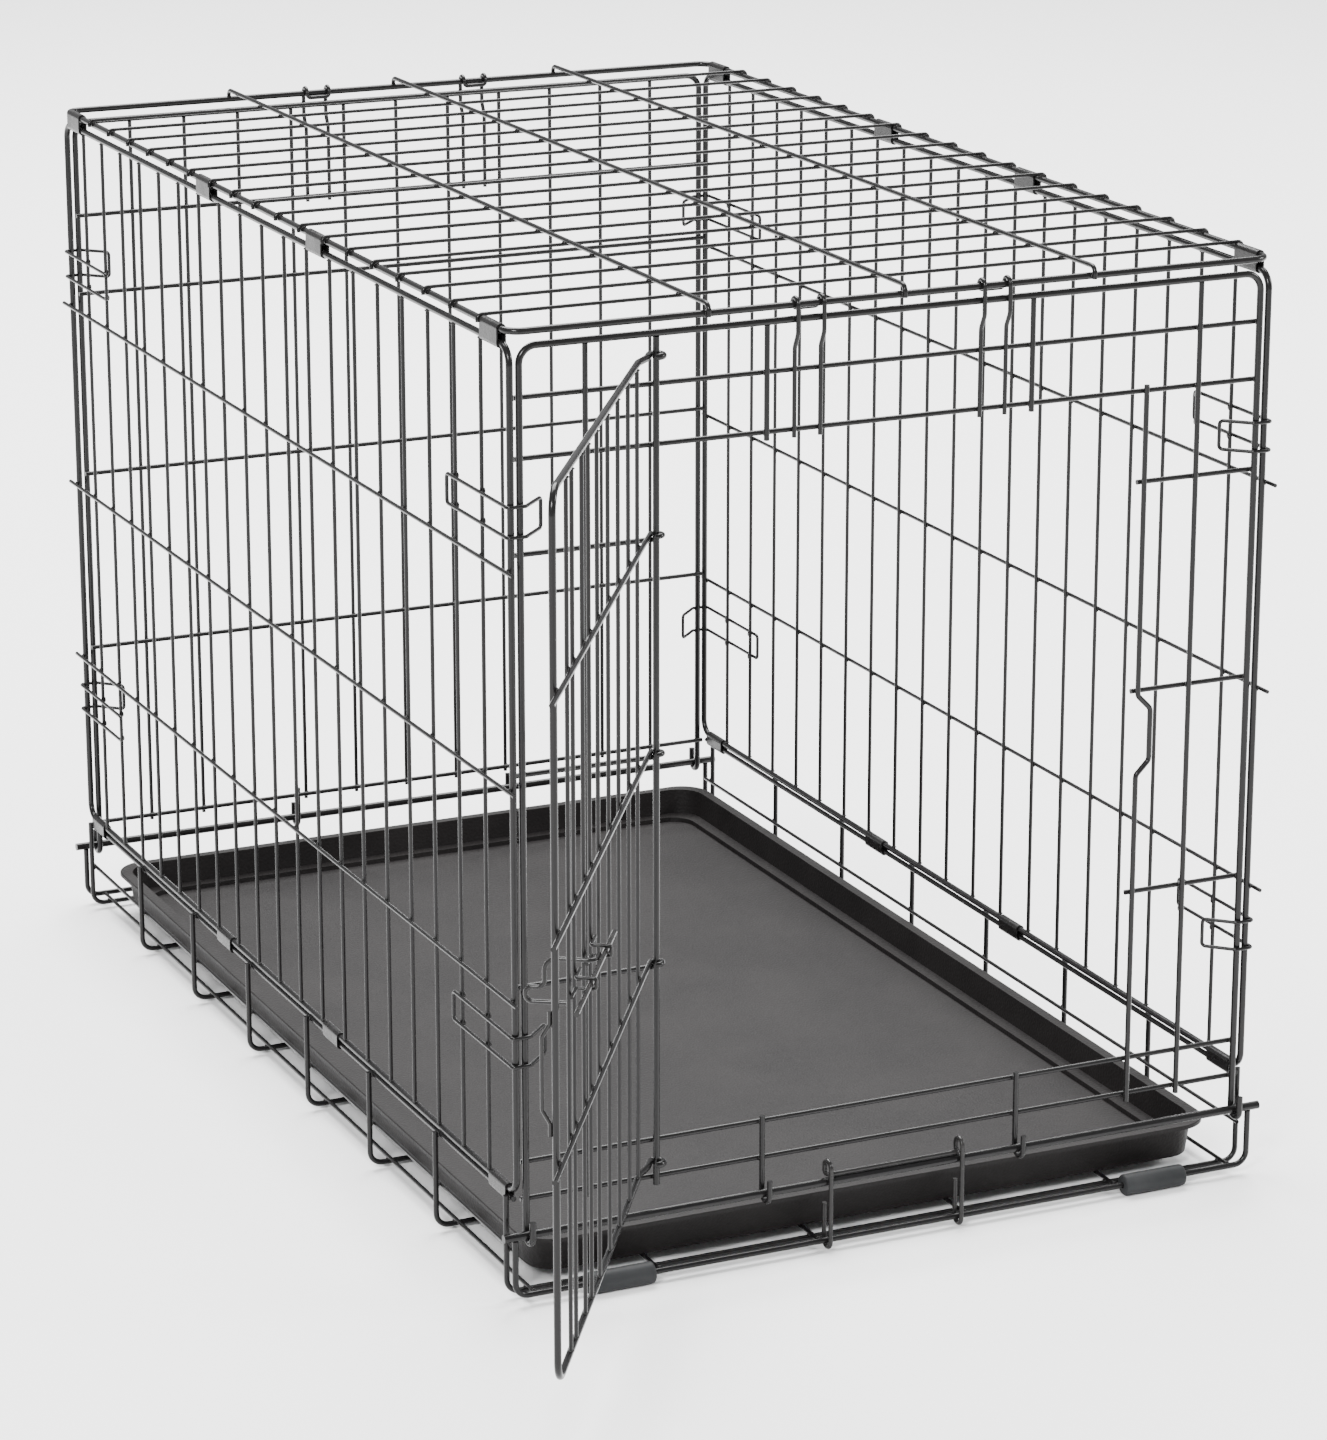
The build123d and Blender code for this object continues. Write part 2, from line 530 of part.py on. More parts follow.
def rod_hooks(end, top_z, diameter, y):
    """Two short uprights hooked under the end rod."""
    bend = rod_y - y - BEND_MARGIN
    with BuildPart() as hooks:
        for x in (-short_post_x, short_post_x):
            add(bent_wire(rod_hook(x, end, y) + [(x, end * y, top_z)], bend, diameter))
    return hooks.part


top_end = panel_top_z - PANEL_FRAME_D / 2 - WELD_GAP
low_end = RIM_Z - END_WIRE_TAIL
front_full_z = (RIM_Z, SILL_Z, lintel_z, upper_wire_z)
save(end_frame(-1), "front_panel_frame")
save(end_horizontal_wires(-1, front_full_z), "front_panel_horizontal_wires")
save(top_hooks(-1), "front_panel_top_hooks")
save(rod_hooks(-1, SILL_Z + END_WIRE_TAIL, END_VERTICAL_D, front_vertical_y), "front_panel_rod_hooks")

with BuildPart() as front_panel_short_wires:
    for z in short_wire_z:
        left_end = hinge_x + HINGE_WIRE_D / 2 + WELD_GAP
        right_end = keeper_x - END_VERTICAL_D
        with Locations(((-end_wire_half + left_end) / 2, -front_horizontal_y, z)):
            Cylinder(END_HORIZONTAL_D / 2, end_wire_half + left_end, rotation=(0, 90, 0))
        with Locations(((end_wire_half + right_end) / 2, -front_horizontal_y, z)):
            Cylinder(END_HORIZONTAL_D / 2, end_wire_half - right_end, rotation=(0, 90, 0))
save(front_panel_short_wires.part, "front_panel_short_wires")

with BuildPart() as front_panel_posts:
    post_x = end_frame_x - FRONT_POST_INSET
    with Locations((-post_x, -front_vertical_y, (top_end + low_end) / 2),
                   (post_x, -front_vertical_y, (top_end + low_end) / 2)):
        Cylinder(END_VERTICAL_D / 2, top_end - low_end)
    lintel_low = lintel_z - END_WIRE_TAIL
    with Locations((-short_post_x, -front_vertical_y, (top_end + lintel_low) / 2),
                   (short_post_x, -front_vertical_y, (top_end + lintel_low) / 2)):
        Cylinder(END_VERTICAL_D / 2, top_end - lintel_low)
save(front_panel_posts.part, "front_panel_posts")

with BuildPart() as door_hinge_wire:
    with Locations((hinge_x, -hinge_y, (top_end + low_end) / 2)):
        Cylinder(HINGE_WIRE_D / 2, top_end - low_end)
save(door_hinge_wire.part, "door_hinge_wire")

jog_low = jog_z - KEEPER_JOG_HEIGHT / 2
jog_high = jog_z + KEEPER_JOG_HEIGHT / 2
keeper_points = [(keeper_x, low_end), (keeper_x, jog_low - KEEPER_JOG / 2),
                 (keeper_x + KEEPER_JOG, jog_low + KEEPER_JOG / 2),
                 (keeper_x + KEEPER_JOG, jog_high - KEEPER_JOG / 2),
                 (keeper_x, jog_high + KEEPER_JOG / 2), (keeper_x, lintel_z + END_WIRE_TAIL)]
save(bent_wire([(x, -front_vertical_y, z) for x, z in keeper_points], KEEPER_BEND,
               END_VERTICAL_D), "latch_keeper_wire")

back_vertical_pitch = 2 * end_frame_x / (BACK_VERTICAL_COUNT + 1)
save(end_frame(1), "back_panel_frame")
save(end_horizontal_wires(1, (RIM_Z, *short_wire_z, lintel_z)), "back_panel_horizontal_wires")
save(top_hooks(1), "back_panel_top_hooks")
save(rod_hooks(1, RIM_Z + END_WIRE_TAIL, END_VERTICAL_D, front_vertical_y),
     "back_panel_rod_hooks")
with BuildPart() as back_panel_vertical_wires:
    with Locations((0, back_vertical_y, (top_end + low_end) / 2)):
        with GridLocations(back_vertical_pitch, 1, BACK_VERTICAL_COUNT, 1):
            Cylinder(BACK_VERTICAL_D / 2, top_end - low_end)
save(back_panel_vertical_wires.part, "back_panel_vertical_wires")

# ---------------------------------------------------------------- door
# Door pieces are drawn on door_plane: x runs from the hinge wire to the free edge and
# minus y is the outer face.
def door_frame_wire():
    """The door's outline: ring, top, free edge, bottom, ring."""
    ring_y = -frame_ring_radius
    jog_start, jog_end = DOOR_JOG
    with BuildPart() as wire:
        with BuildLine(door_plane) as route:
            CenterArc((0, 0, door_top_z), frame_ring_radius, -90 - RING_ARC, RING_ARC)
            FilletPolyline(
                (0, ring_y, door_top_z), (jog_start, ring_y, door_top_z),
                (jog_end, door_frame_y, door_top_z), (door_edge, door_frame_y, door_top_z),
                (door_edge, door_frame_y, DOOR_BOTTOM_Z), (jog_end, door_frame_y, DOOR_BOTTOM_Z),
                (jog_start, ring_y, DOOR_BOTTOM_Z), (0, ring_y, DOOR_BOTTOM_Z),
                radius=DOOR_CORNER_BEND)
            CenterArc((0, 0, DOOR_BOTTOM_Z), frame_ring_radius, -90, -RING_ARC)
        with BuildSketch(Plane(origin=route.line @ 0, z_dir=route.line % 0)):
            Circle(DOOR_FRAME_D / 2)
        sweep()
    return wire.part


def door_horizontal_wire(z):
    """A cross wire rolled into a ring round the hinge wire, its free end a door stop."""
    with BuildPart() as wire:
        with BuildLine(door_plane) as route:
            CenterArc((0, 0, z), ring_radius, -90 - RING_ARC, RING_ARC)
            Line((0, -ring_radius, z), (door_edge + DOOR_STOP_OVERHANG, -ring_radius, z))
        with BuildSketch(Plane(origin=route.line @ 0, z_dir=route.line % 0)):
            Circle(DOOR_HORIZONTAL_D / 2)
        sweep()
    return wire.part


save(door_frame_wire(), "door_frame")
with BuildPart() as door_horizontal_wires:
    for z in short_wire_z:
        add(door_horizontal_wire(z + door_ring_lift))
save(door_horizontal_wires.part, "door_horizontal_wires")

door_vertical_low = DOOR_BOTTOM_Z + DOOR_FRAME_D / 2 + WELD_GAP
door_vertical_high = door_top_z - DOOR_FRAME_D / 2 - WELD_GAP
with BuildPart(door_plane) as door_vertical_wires:
    with Locations(*[(s, door_vertical_y, (door_vertical_low + door_vertical_high) / 2)
                     for s in door_bars]):
        Cylinder(DOOR_VERTICAL_D / 2, door_vertical_high - door_vertical_low)
save(door_vertical_wires.part, "door_vertical_wires")

# ---------------------------------------------------------------- latch
with BuildPart(door_plane) as latch_bolt:
    with Locations(((bolt_tail + door_edge) / 2, bolt_y, bolt_z)):
        Cylinder(BOLT_D / 2, door_edge - bolt_tail, rotation=(0, 90, 0))
save(latch_bolt.part, "latch_bolt")

handle_y = bolt_y - (BOLT_D + LATCH_HANDLE_D) / 2 - WELD_GAP
lever_top_z = bolt_z - HANDLE_DROP
lever_low_z = lever_top_z - HANDLE_LEVER
save(bent_wire(
    [(handle_spot - HANDLE_TAIL, handle_y, bolt_z), (handle_spot, handle_y, bolt_z),
     (handle_spot, -HANDLE_NECK, bolt_z), (handle_spot, -HANDLE_NECK, lever_top_z),
     (handle_spot, -HANDLE_REACH, lever_top_z), (handle_spot, -HANDLE_REACH, lever_low_z),
     (handle_spot, -HANDLE_RETURN, lever_low_z)],
    [HANDLE_BEND, HANDLE_NECK_BEND, HANDLE_BEND, HANDLE_BEND, HANDLE_BEND],
    LATCH_HANDLE_D, door_plane), "latch_handle")

guide_foot_y = door_vertical_y + (DOOR_VERTICAL_D + LATCH_GUIDE_D) / 2 + WELD_GAP
guide_half_z = (BOLT_D + LATCH_GUIDE_D) / 2 + LOOSE_FIT
guide_back_y = bolt_y + guide_half_z
with BuildPart() as latch_guides:
    for spot in [door_edge - inset for inset in LATCH_GUIDE_INSETS]:
        add(bent_wire(
            [(spot - LATCH_GUIDE_REACH, guide_foot_y, bolt_z + guide_half_z),
             (spot, guide_foot_y, bolt_z + guide_half_z), (spot, guide_back_y, bolt_z + guide_half_z),
             (spot, guide_back_y, bolt_z - guide_half_z), (spot, guide_foot_y, bolt_z - guide_half_z),
             (spot + LATCH_GUIDE_REACH, guide_foot_y, bolt_z - guide_half_z)],
            LATCH_GUIDE_BEND, LATCH_GUIDE_D, door_plane))
save(latch_guides.part, "latch_guides")

guard_y = door_frame_y - (DOOR_FRAME_D + LATCH_GUARD_D) / 2 - WELD_GAP
guard_top_z = bolt_z + GUARD_RISE
guard_low_z = guard_top_z - GUARD_LENGTH
save(bent_wire(
    [(door_edge, guard_y, guard_top_z), (door_edge, guard_y, guard_top_z - GUARD_RAMP),
     (door_edge, guard_y - GUARD_BOW, guard_top_z - 2 * GUARD_RAMP),
     (door_edge, guard_y - GUARD_BOW, guard_low_z + 2 * GUARD_RAMP),
     (door_edge, guard_y, guard_low_z + GUARD_RAMP), (door_edge, guard_y, guard_low_z)],
    GUARD_BEND, LATCH_GUARD_D, door_plane), "latch_guard")
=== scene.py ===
import math

import bmesh
import bpy
from mathutils import Matrix, Vector
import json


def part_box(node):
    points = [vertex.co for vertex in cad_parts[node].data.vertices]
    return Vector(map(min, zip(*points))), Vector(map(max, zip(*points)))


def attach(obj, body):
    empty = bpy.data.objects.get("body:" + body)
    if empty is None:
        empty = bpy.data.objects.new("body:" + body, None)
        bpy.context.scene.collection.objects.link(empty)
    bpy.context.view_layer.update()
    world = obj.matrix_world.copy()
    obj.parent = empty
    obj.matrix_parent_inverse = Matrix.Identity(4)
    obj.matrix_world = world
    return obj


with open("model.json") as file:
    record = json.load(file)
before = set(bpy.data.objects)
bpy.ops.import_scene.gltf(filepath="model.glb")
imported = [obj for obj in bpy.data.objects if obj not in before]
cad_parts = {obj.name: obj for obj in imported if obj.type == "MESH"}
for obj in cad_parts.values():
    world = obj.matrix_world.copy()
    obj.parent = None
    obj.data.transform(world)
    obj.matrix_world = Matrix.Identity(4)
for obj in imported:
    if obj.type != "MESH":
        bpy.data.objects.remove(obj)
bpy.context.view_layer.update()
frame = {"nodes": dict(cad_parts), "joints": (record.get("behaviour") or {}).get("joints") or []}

# ------------------------------------------------------------------ base
# The base is eight U-shaped hoops of steel wire with long wires laid across them, plus two end
# rods on lower frames. The wires are cut, bent, resistance-welded where they cross, and the
# finished base is dipped in gloss black electrocoat, which pools a little at every weld.
base_coat_colour = (0.0045, 0.0043, 0.0045, 1.0)
base_thin_colour = (0.010, 0.0095, 0.0095, 1.0)


def dipped_coat_effect():
    """Patches where the coat ran thin, a gloss that varies with them, and orange peel."""
    group = bpy.data.node_groups.new("dipped coat", "ShaderNodeTree")
    face = group.interface
    for name, kind, value in (
        ("Full Colour", "NodeSocketColor", (0.03, 0.03, 0.03, 1.0)),
        ("Thin Colour", "NodeSocketColor", (0.05, 0.05, 0.05, 1.0)),
        ("Patch Scale", "NodeSocketFloat", 30.0),
        ("Gloss Roughness", "NodeSocketFloat", 0.2),
        ("Dull Roughness", "NodeSocketFloat", 0.4),
        ("Peel Scale", "NodeSocketFloat", 900.0),
        ("Peel Depth", "NodeSocketFloat", 0.00004),
    ):
        face.new_socket(name, in_out="INPUT", socket_type=kind).default_value = value
    face.new_socket("Colour", in_out="OUTPUT", socket_type="NodeSocketColor")
    face.new_socket("Roughness", in_out="OUTPUT", socket_type="NodeSocketFloat")
    face.new_socket("Normal", in_out="OUTPUT", socket_type="NodeSocketVector")
    nodes, links = group.nodes, group.links
    asked = nodes.new("NodeGroupInput")
    given = nodes.new("NodeGroupOutput")
    place = nodes.new("ShaderNodeTexCoord")

    patches = nodes.new("ShaderNodeTexNoise")
    patches.inputs["Detail"].default_value = 4.0
    links.new(place.outputs["Object"], patches.inputs["Vector"])
    links.new(asked.outputs["Patch Scale"], patches.inputs["Scale"])

    colour = nodes.new("ShaderNodeMix")
    colour.data_type = "RGBA"
    links.new(patches.outputs["Fac"], colour.inputs["Factor"])
    links.new(asked.outputs["Full Colour"], colour.inputs["A"])
    links.new(asked.outputs["Thin Colour"], colour.inputs["B"])
    links.new(colour.outputs["Result"], given.inputs["Colour"])

    gloss = nodes.new("ShaderNodeMapRange")
    gloss.inputs["From Min"].default_value = 0.3
    gloss.inputs["From Max"].default_value = 0.7
    links.new(patches.outputs["Fac"], gloss.inputs["Value"])
    links.new(asked.outputs["Gloss Roughness"], gloss.inputs["To Min"])
    links.new(asked.outputs["Dull Roughness"], gloss.inputs["To Max"])
    links.new(gloss.outputs["Result"], given.inputs["Roughness"])

    peel = nodes.new("ShaderNodeTexNoise")
    peel.inputs["Detail"].default_value = 2.0
    links.new(place.outputs["Object"], peel.inputs["Vector"])
    links.new(asked.outputs["Peel Scale"], peel.inputs["Scale"])
    relief = nodes.new("ShaderNodeBump")
    links.new(peel.outputs["Fac"], relief.inputs["Height"])
    links.new(asked.outputs["Peel Depth"], relief.inputs["Distance"])
    links.new(relief.outputs["Normal"], given.inputs["Normal"])
    return group


dipped_coat = dipped_coat_effect()


def coated_steel(name, full, thin, gloss, dull, patch_scale=35.0, peel_depth=0.00004):
    """Steel under one dip of gloss black electrocoat."""
    material = bpy.data.materials.new(name)
    material.use_nodes = True
    nodes, links = material.node_tree.nodes, material.node_tree.links
    shader = nodes["Principled BSDF"]
    shader.inputs["Specular IOR Level"].default_value = 0.2
    shader.inputs["Coat Weight"].default_value = 0.06
    shader.inputs["Coat Roughness"].default_value = 0.12
    skin = nodes.new("ShaderNodeGroup")
    skin.node_tree = dipped_coat
    skin.inputs["Full Colour"].default_value = full
    skin.inputs["Thin Colour"].default_value = thin
    skin.inputs["Patch Scale"].default_value = patch_scale
    skin.inputs["Gloss Roughness"].default_value = gloss
    skin.inputs["Dull Roughness"].default_value = dull
    skin.inputs["Peel Depth"].default_value = peel_depth
    links.new(skin.outputs["Colour"], shader.inputs["Base Color"])
    links.new(skin.outputs["Roughness"], shader.inputs["Roughness"])
    links.new(skin.outputs["Normal"], shader.inputs["Normal"])
    return material


def finish_nodes(material, *names):
    """Gives CAD pieces their finish."""
    for name in names:
        frame["nodes"][name].data.materials.clear()
        frame["nodes"][name].data.materials.append(material)


def loose_wires(name, turn=Matrix.Identity(4)):
    """The lowest and highest corner of each separate wire of a CAD piece."""
    bm = bmesh.new()
    bm.from_mesh(frame["nodes"][name].data)
    bmesh.ops.remove_doubles(bm, verts=bm.verts, dist=1e-6)
    bm.transform(turn)
    waiting = set(bm.verts)
    wires = []
    while waiting:
        front = [waiting.pop()]
        low, high = front[0].co.copy(), front[0].co.copy()
        while front:
            vert = front.pop()
            low = Vector(map(min, low, vert.co))
            high = Vector(map(max, high, vert.co))
            for edge in vert.link_edges:
                other = edge.other_vert(vert)
                if other in waiting:
                    waiting.discard(other)
                    front.append(other)
        wires.append((low, high))
    bm.free()
    return sorted(wires, key=lambda wire: tuple(wire[0]))


def middle(wire):
    return (wire[0] + wire[1]) / 2


def outer_x(wire):
    """The face of a wire that looks away from the crate's middle, left or right."""
    return wire[0].x if middle(wire).x < 0 else wire[1].x


def inner_x(wire):
    """The face of a wire that looks towards the crate's middle."""
    return wire[1].x if middle(wire).x < 0 else wire[0].x


def weld_nuggets(name, groups, body, material, turn=Matrix.Identity(4)):
    """Beads squeezed out where wires are welded: groups of (places, half sizes of a bead)."""
    bm = bmesh.new()
    for places, half_size in groups:
        for place in places:
            bmesh.ops.create_uvsphere(
                bm, u_segments=8, v_segments=5, radius=1.0,
                matrix=turn @ Matrix.Translation(place) @ Matrix.Diagonal((*half_size, 1.0)))
    for face in bm.faces:
        face.smooth = True
    mesh = bpy.data.meshes.new(name)
    bm.to_mesh(mesh)
    bm.free()
    beads = bpy.data.objects.new(name, mesh)
    bpy.context.scene.collection.objects.link(beads)
    mesh.materials.append(material)
    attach(beads, body)
    return beads


base_coat = coated_steel(
    "base wire coat", base_coat_colour, base_thin_colour, gloss=0.20, dull=0.28)
rod_coat = coated_steel(
    "end rod coat", base_coat_colour, base_thin_colour, gloss=0.16, dull=0.24, patch_scale=22.0)
bead_coat = coated_steel(
    "weld bead coat", (0.006, 0.0058, 0.0058, 1.0), (0.020, 0.019, 0.0188, 1.0), gloss=0.16,
    dull=0.30, patch_scale=220.0, peel_depth=0.00008)
finish_nodes(base_coat, "base_hoops", "base_floor_wires", "base_rim_wires", "base_mid_wires",
             "front_lower_frame", "back_lower_frame")
finish_nodes(rod_coat, "front_rod", "back_rod")

bead = 0.0019
thin = 0.0007
hoops = loose_wires("base_hoops")
floor_wires = loose_wires("base_floor_wires")
rail_wires = loose_wires("base_rim_wires") + loose_wires("base_mid_wires")
weld_nuggets("base_welds", [
    ([(middle(f).x, middle(h).y, f[0].z) for h in hoops for f in floor_wires], (bead, bead, thin)),
    ([(outer_x(w), middle(h).y, middle(w).z) for h in hoops for w in rail_wires],
     (thin, bead, bead)),
    ([(middle(f).x, end, middle(f).z) for f in floor_wires for end in (f[0].y, f[1].y)],
     (bead, thin, bead)),
], "crate_shell", bead_coat)

# ------------------------------------------------------------------ foot sleeves
# Four short plastic tubes slipped over the lower frames, which the crate stands on. They are
# extruded in black PVC and cut off square, and grip by their own stretch.
foot_colour = (0.016, 0.017, 0.018, 1.0)
foot_scuffed = (0.028, 0.029, 0.030, 1.0)


def soft_plastic(name, clean, scuffed, grain_scale, grain_depth, gloss, dull):
    """Black plastic with scuffs that lighten and dull it, over a fine moulded grain."""
    material = bpy.data.materials.new(name)
    material.use_nodes = True
    nodes, links = material.node_tree.nodes, material.node_tree.links
    shader = nodes["Principled BSDF"]
    shader.inputs["Specular IOR Level"].default_value = 0.16
    place = nodes.new("ShaderNodeTexCoord")
    scuffs = nodes.new("ShaderNodeTexNoise")
    scuffs.inputs["Scale"].default_value = 14.0
    scuffs.inputs["Detail"].default_value = 6.0
    scuffs.inputs["Roughness"].default_value = 0.62
    links.new(place.outputs["Object"], scuffs.inputs["Vector"])
    worn = nodes.new("ShaderNodeMapRange")
    worn.inputs["From Min"].default_value = 0.42
    worn.inputs["From Max"].default_value = 0.72
    links.new(scuffs.outputs["Fac"], worn.inputs["Value"])
    colour = nodes.new("ShaderNodeMix")
    colour.data_type = "RGBA"
    colour.inputs["A"].default_value = clean
    colour.inputs["B"].default_value = scuffed
    links.new(worn.outputs["Result"], colour.inputs["Factor"])
    links.new(colour.outputs["Result"], shader.inputs["Base Color"])
    rough = nodes.new("ShaderNodeMapRange")
    rough.inputs["To Min"].default_value = gloss
    rough.inputs["To Max"].default_value = dull
    links.new(scuffs.outputs["Fac"], rough.inputs["Value"])
    links.new(rough.outputs["Result"], shader.inputs["Roughness"])
    pebbles = nodes.new("ShaderNodeTexVoronoi")
    pebbles.feature = "SMOOTH_F1"
    pebbles.inputs["Scale"].default_value = grain_scale
    links.new(place.outputs["Object"], pebbles.inputs["Vector"])
    relief = nodes.new("ShaderNodeBump")
    relief.inputs["Distance"].default_value = grain_depth
    relief.invert = True
    links.new(pebbles.outputs["Distance"], relief.inputs["Height"])
    links.new(relief.outputs["Normal"], shader.inputs["Normal"])
    return material


foot_vinyl = soft_plastic("foot sleeve vinyl", foot_colour, foot_scuffed, grain_scale=1400.0,
                          grain_depth=0.00008, gloss=0.42, dull=0.62)
finish_nodes(foot_vinyl, "foot_sleeves")

# ------------------------------------------------------------------ side panels
# Each side is one ring of heavy wire with thin uprights butt-welded inside it and three thin
# cross wires welded outside them. The coat is the same dip as the base, thinner on thin wire.
side_coat_colour = (0.005, 0.0048, 0.005, 1.0)
side_thin_colour = (0.011, 0.0105, 0.0105, 1.0)
side_frame_coat = coated_steel(
    "side frame coat", side_coat_colour, side_thin_colour, gloss=0.18, dull=0.26)
side_wire_coat = coated_steel(
    "side wire coat", side_coat_colour, side_thin_colour, gloss=0.20, dull=0.29, patch_scale=45.0)
clip_coat = coated_steel(
    "spring clip coat", side_coat_colour, side_thin_colour, gloss=0.16, dull=0.28,
    patch_scale=60.0)
clip_wire = 0.0022
for side in ("left", "right"):
    finish_nodes(side_frame_coat, f"{side}_side_frame")
    finish_nodes(side_wire_coat, f"{side}_side_vertical_wires", f"{side}_side_horizontal_wires")
    finish_nodes(clip_coat, f"{side}_corner_clips")
    uprights = loose_wires(f"{side}_side_vertical_wires")
    cross_wires = loose_wires(f"{side}_side_horizontal_wires")
    clips = loose_wires(f"{side}_corner_clips")
    frame_low, frame_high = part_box(f"{side}_side_frame")
    frame_wire = frame_high.x - frame_low.x
    weld_nuggets(f"{side}_side_welds", [
        ([(inner_x(c), middle(u).y, middle(c).z) for u in uprights for c in cross_wires],
         (thin, bead, bead)),
        ([(inner_x(c), end, middle(c).z) for c in cross_wires
          for end in (frame_low.y + frame_wire / 2, frame_high.y - frame_wire / 2)],
         (thin, bead, bead)),
        ([(middle(u).x, middle(u).y, end) for u in uprights for end in (u[0].z, u[1].z)],
         (bead, bead, thin)),
        ([(inner_x(u), middle(u).y, z) for u in uprights for c in clips
          for z in (c[0].z + clip_wire / 2, c[1].z - clip_wire / 2)
          if c[0].y < middle(u).y < c[1].y],
         (thin, bead, bead)),
    ], "crate_shell", bead_coat)

# ------------------------------------------------------------------ hinge sleeves
# Sixteen bands of sheet steel crimped round two wires at once, so that the folding panels can
# turn on each other. They are stamped flat, wrapped, closed in a press and dipped with the rest.
band_colour = (0.006, 0.0058, 0.006, 1.0)
band_worn_colour = (0.013, 0.0122, 0.012, 1.0)
band_coat = coated_steel(
    "crimped band coat", band_colour, band_worn_colour, gloss=0.18, dull=0.34, patch_scale=90.0,
    peel_depth=0.0001)
finish_nodes(band_coat, "top_left_hinge_sleeves", "top_right_hinge_sleeves",
             "bottom_left_hinge_sleeves", "bottom_right_hinge_sleeves")

# ------------------------------------------------------------------ top panel
# A ring of heavy wire with thin cross wires bent down over its rails and three long wires laid
# over them. All are welded at each crossing, and it hangs on the sides by the crimped bands.
top_frame_coat = coated_steel(
    "top frame coat", side_coat_colour, side_thin_colour, gloss=0.17, dull=0.25)
top_wire_coat = coated_steel(
    "top wire coat", side_coat_colour, side_thin_colour, gloss=0.20, dull=0.28, patch_scale=45.0)
finish_nodes(top_frame_coat, "top_frame")
finish_nodes(top_wire_coat, "top_cross_wires", "top_long_wires")
crosses = loose_wires("top_cross_wires")
longs = loose_wires("top_long_wires")
top_low, top_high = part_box("top_frame")
rail_half = (top_high.z - top_low.z) / 2
cross_wire = crosses[0][1].y - crosses[0][0].y
long_wire = longs[0][1].x - longs[0][0].x
weld_nuggets("top_welds", [
    ([(middle(w).x, middle(c).y, w[1].z - long_wire) for c in crosses for w in longs],
     (bead, bead, thin)),
    ([(x, middle(c).y, c[1].z - cross_wire) for c in crosses
      for x in (top_low.x + rail_half, top_high.x - rail_half)], (bead, bead, thin)),
    ([(middle(w).x, y, top_high.z - rail_half) for w in longs for y in (top_low.y, top_high.y)],
     (bead, thin, bead)),
], "crate_shell", bead_coat)

# ------------------------------------------------------------------ front panel
# A hooked frame of heavy wire that hangs on the lower rod and clips to the top rail. Cross
# wires are welded to its inner side and the door's hinge wire, posts and keeper in front of them.
frame_wire_half = 0.002
front_frame_coat = coated_steel(
    "front frame coat", side_coat_colour, side_thin_colour, gloss=0.16, dull=0.24)
front_wire_coat = coated_steel(
    "front wire coat", side_coat_colour, side_thin_colour, gloss=0.18, dull=0.26,
    patch_scale=40.0)
finish_nodes(front_frame_coat, "front_panel_frame", "door_hinge_wire", "latch_keeper_wire")
finish_nodes(front_wire_coat, "front_panel_horizontal_wires", "front_panel_short_wires",
             "front_panel_posts", "front_panel_top_hooks", "front_panel_rod_hooks")


def panel_welds(name, horizontals, uprights, panel_frame, body, inward):
    """Beads where an end panel's horizontals cross its uprights and the sides of its frame."""
    low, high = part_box(panel_frame)
    frame_sides = (low.x + frame_wire_half, high.x - frame_wire_half)
    places = []
    for h in horizontals:
        face = h[0].y if inward > 0 else h[1].y
        places += [(x, face, middle(h).z) for x in frame_sides
                   if h[0].x - bead < x < h[1].x + bead]
        for u in uprights:
            across = h[0].x - bead < middle(u).x < h[1].x + bead
            along = u[0].z - bead < middle(h).z < u[1].z + bead
            if across and along:
                places.append((middle(u).x, face, middle(h).z))
    weld_nuggets(name, [(places, (bead, thin, bead))], body, bead_coat)


panel_welds("front_panel_welds",
            loose_wires("front_panel_horizontal_wires") + loose_wires("front_panel_short_wires"),
            loose_wires("front_panel_posts") + loose_wires("door_hinge_wire")
            + loose_wires("front_panel_rod_hooks"),
            "front_panel_frame", "crate_shell", 1)

# ------------------------------------------------------------------ back panel
# The same hooked frame at the other end, filled with thin uprights, with no door. It is welded
# and dipped as one piece and swings inwards on the back rod when the crate is folded.
back_frame_coat = coated_steel(
    "back frame coat", side_coat_colour, side_thin_colour, gloss=0.18, dull=0.26)
back_wire_coat = coated_steel(
    "back wire coat", side_coat_colour, side_thin_colour, gloss=0.20, dull=0.28, patch_scale=42.0)
finish_nodes(back_frame_coat, "back_panel_frame")
finish_nodes(back_wire_coat, "back_panel_horizontal_wires", "back_panel_vertical_wires",
             "back_panel_top_hooks", "back_panel_rod_hooks")
panel_welds("back_panel_welds", loose_wires("back_panel_horizontal_wires"),
            loose_wires("back_panel_vertical_wires") + loose_wires("back_panel_rod_hooks"),
            "back_panel_frame", "back_panel", -1)

# ------------------------------------------------------------------ door
# One bent frame wire and three cross wires, all rolled into rings round the hinge wire, with
# thin uprights welded to their outer side. The door hangs on the rings and swings freely.
door_coat = coated_steel(
    "door frame coat", side_coat_colour, side_thin_colour, gloss=0.16, dull=0.24)
door_wire_coat = coated_steel(
    "door wire coat", side_coat_colour, side_thin_colour, gloss=0.18, dull=0.26, patch_scale=40.0)
finish_nodes(door_coat, "door_frame")
finish_nodes(door_wire_coat, "door_horizontal_wires", "door_vertical_wires")
hinge = next(joint for joint in frame["joints"] if joint["name"] == "door_hinge")
hinge_place = Vector((hinge["pos_m"][0], hinge["pos_m"][1], 0.0))
door_angle = math.radians(hinge["range_deg"][1])
to_door = Matrix.Rotation(door_angle, 4, "Z") @ Matrix.Translation(-hinge_place)
door_uprights = loose_wires("door_vertical_wires", to_door)
door_crosses = loose_wires("door_horizontal_wires", to_door)
door_wire_half = 0.00195
door_frame_high = loose_wires("door_frame", to_door)[0][1]
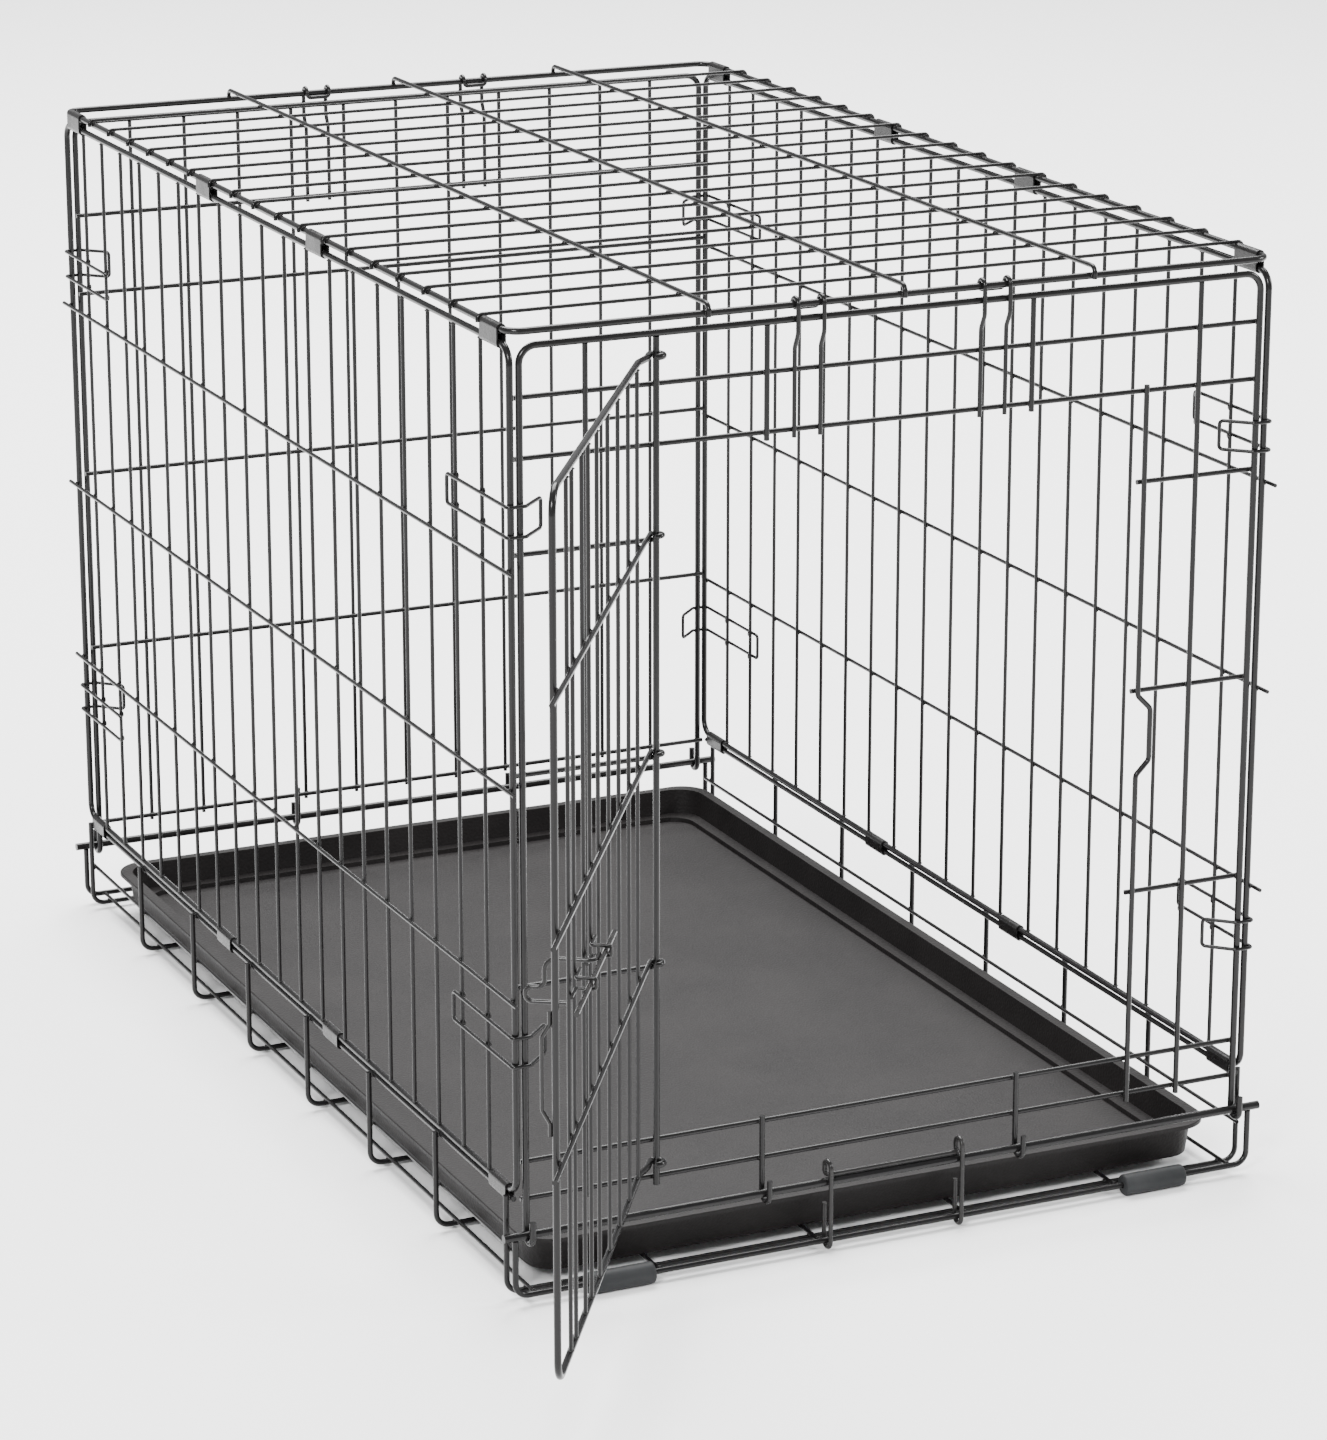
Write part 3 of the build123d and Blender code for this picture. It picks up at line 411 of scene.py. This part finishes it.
weld_nuggets("door_welds", [
    ([(middle(u).x, u[1].y, middle(c).z) for u in door_uprights for c in door_crosses],
     (bead, thin, bead)),
    ([(door_frame_high.x - door_wire_half, c[0].y, middle(c).z) for c in door_crosses],
     (bead, thin, bead)),
    ([(middle(u).x, middle(u).y, z) for u in door_uprights for z in (u[0].z, u[1].z)],
     (bead, bead, thin)),
], "door", bead_coat, to_door.inverted())

# ------------------------------------------------------------------ latch
# A straight bolt with a finger loop welded to it slides in two hairpin guides on the door, and a
# bowed guard wire keeps a paw off it. All are bright-drawn wire under the same black dip.
latch_coat = coated_steel(
    "latch wire coat", (0.006, 0.0058, 0.006, 1.0), (0.022, 0.021, 0.0205, 1.0), gloss=0.14,
    dull=0.30, patch_scale=120.0)
finish_nodes(latch_coat, "latch_bolt", "latch_handle", "latch_guides", "latch_guard")

# ------------------------------------------------------------------ pan
# A shallow tray that lies loose on the base's long wires and slides out under the door. It is
# vacuum-formed from black plastic sheet with a pebbled face, and scuffs grey where it rubs.
pan_colour = (0.0085, 0.0074, 0.0074, 1.0)
pan_scuffed = (0.0135, 0.012, 0.0118, 1.0)
pan_sheet = soft_plastic("pan sheet", pan_colour, pan_scuffed, grain_scale=700.0,
                         grain_depth=0.00022, gloss=0.42, dull=0.62)
finish_nodes(pan_sheet, "pan")

# ------------------------------------------------------------------ pan stop
# A wire bail that hooks on the lower frame and leans on the rod to keep the pan in. It is bent
# from one piece of spring wire, and its curled top corners are finger pulls.
finish_nodes(latch_coat, "pan_stop")

# ------------------------------------------------------------------ studio
# The crate stands on a wide pale sheet under an overhead softbox and two smaller ones beside the
# camera, in even white surroundings, so that its wires take narrow highlights.
floor_mesh = bpy.data.meshes.new("studio_floor")
bm = bmesh.new()
bmesh.ops.create_grid(bm, x_segments=1, y_segments=1, size=20.0)
bm.to_mesh(floor_mesh)
bm.free()
studio_floor = bpy.data.objects.new("studio_floor", floor_mesh)
bpy.context.scene.collection.objects.link(studio_floor)
floor_paint = bpy.data.materials.new("studio floor paint")
floor_paint.use_nodes = True
floor_shader = floor_paint.node_tree.nodes["Principled BSDF"]
floor_shader.inputs["Base Color"].default_value = (0.93, 0.93, 0.93, 1)
floor_shader.inputs["Roughness"].default_value = 0.7
floor_mesh.materials.append(floor_paint)

studio_air = bpy.data.worlds.new("studio air")
studio_air.use_nodes = True
surroundings = studio_air.node_tree.nodes["Background"]
surroundings.inputs["Color"].default_value = (0.98, 0.99, 1.0, 1.0)
surroundings.inputs["Strength"].default_value = 0.6
bpy.context.scene.world = studio_air


def soft_lamp(name, place, aim, size, watts):
    """A square softbox turned towards a point."""
    light = bpy.data.lights.new(name, "AREA")
    light.shape = "SQUARE"
    light.size = size
    light.energy = watts
    lamp = bpy.data.objects.new(name, light)
    lamp.location = place
    lamp.rotation_euler = (Vector(aim) - Vector(place)).to_track_quat("-Z", "Y").to_euler()
    bpy.context.scene.collection.objects.link(lamp)


soft_lamp("overhead softbox", (0.6, 2.2, 4.6), (0.2, 1.0, 0.0), 4.5, 1100.0)
soft_lamp("key softbox", (-2.2, -2.4, 2.2), (0.0, 0.0, 0.25), 0.9, 150.0)
soft_lamp("fill softbox", (3.0, -1.6, 1.8), (0.0, 0.0, 0.3), 0.9, 90.0)

camera_data = bpy.data.cameras.new("camera")
camera_data.lens = 121.2
camera_data.sensor_width = 36.0
camera = bpy.data.objects.new("camera", camera_data)
camera.location = (-1.2218, -2.7144, 1.1186)
camera.rotation_euler = (math.radians(90.0 - 16.96), 0.0, math.radians(-24.74))
bpy.context.scene.collection.objects.link(camera)
bpy.context.scene.camera = camera

bpy.context.view_layer.update()
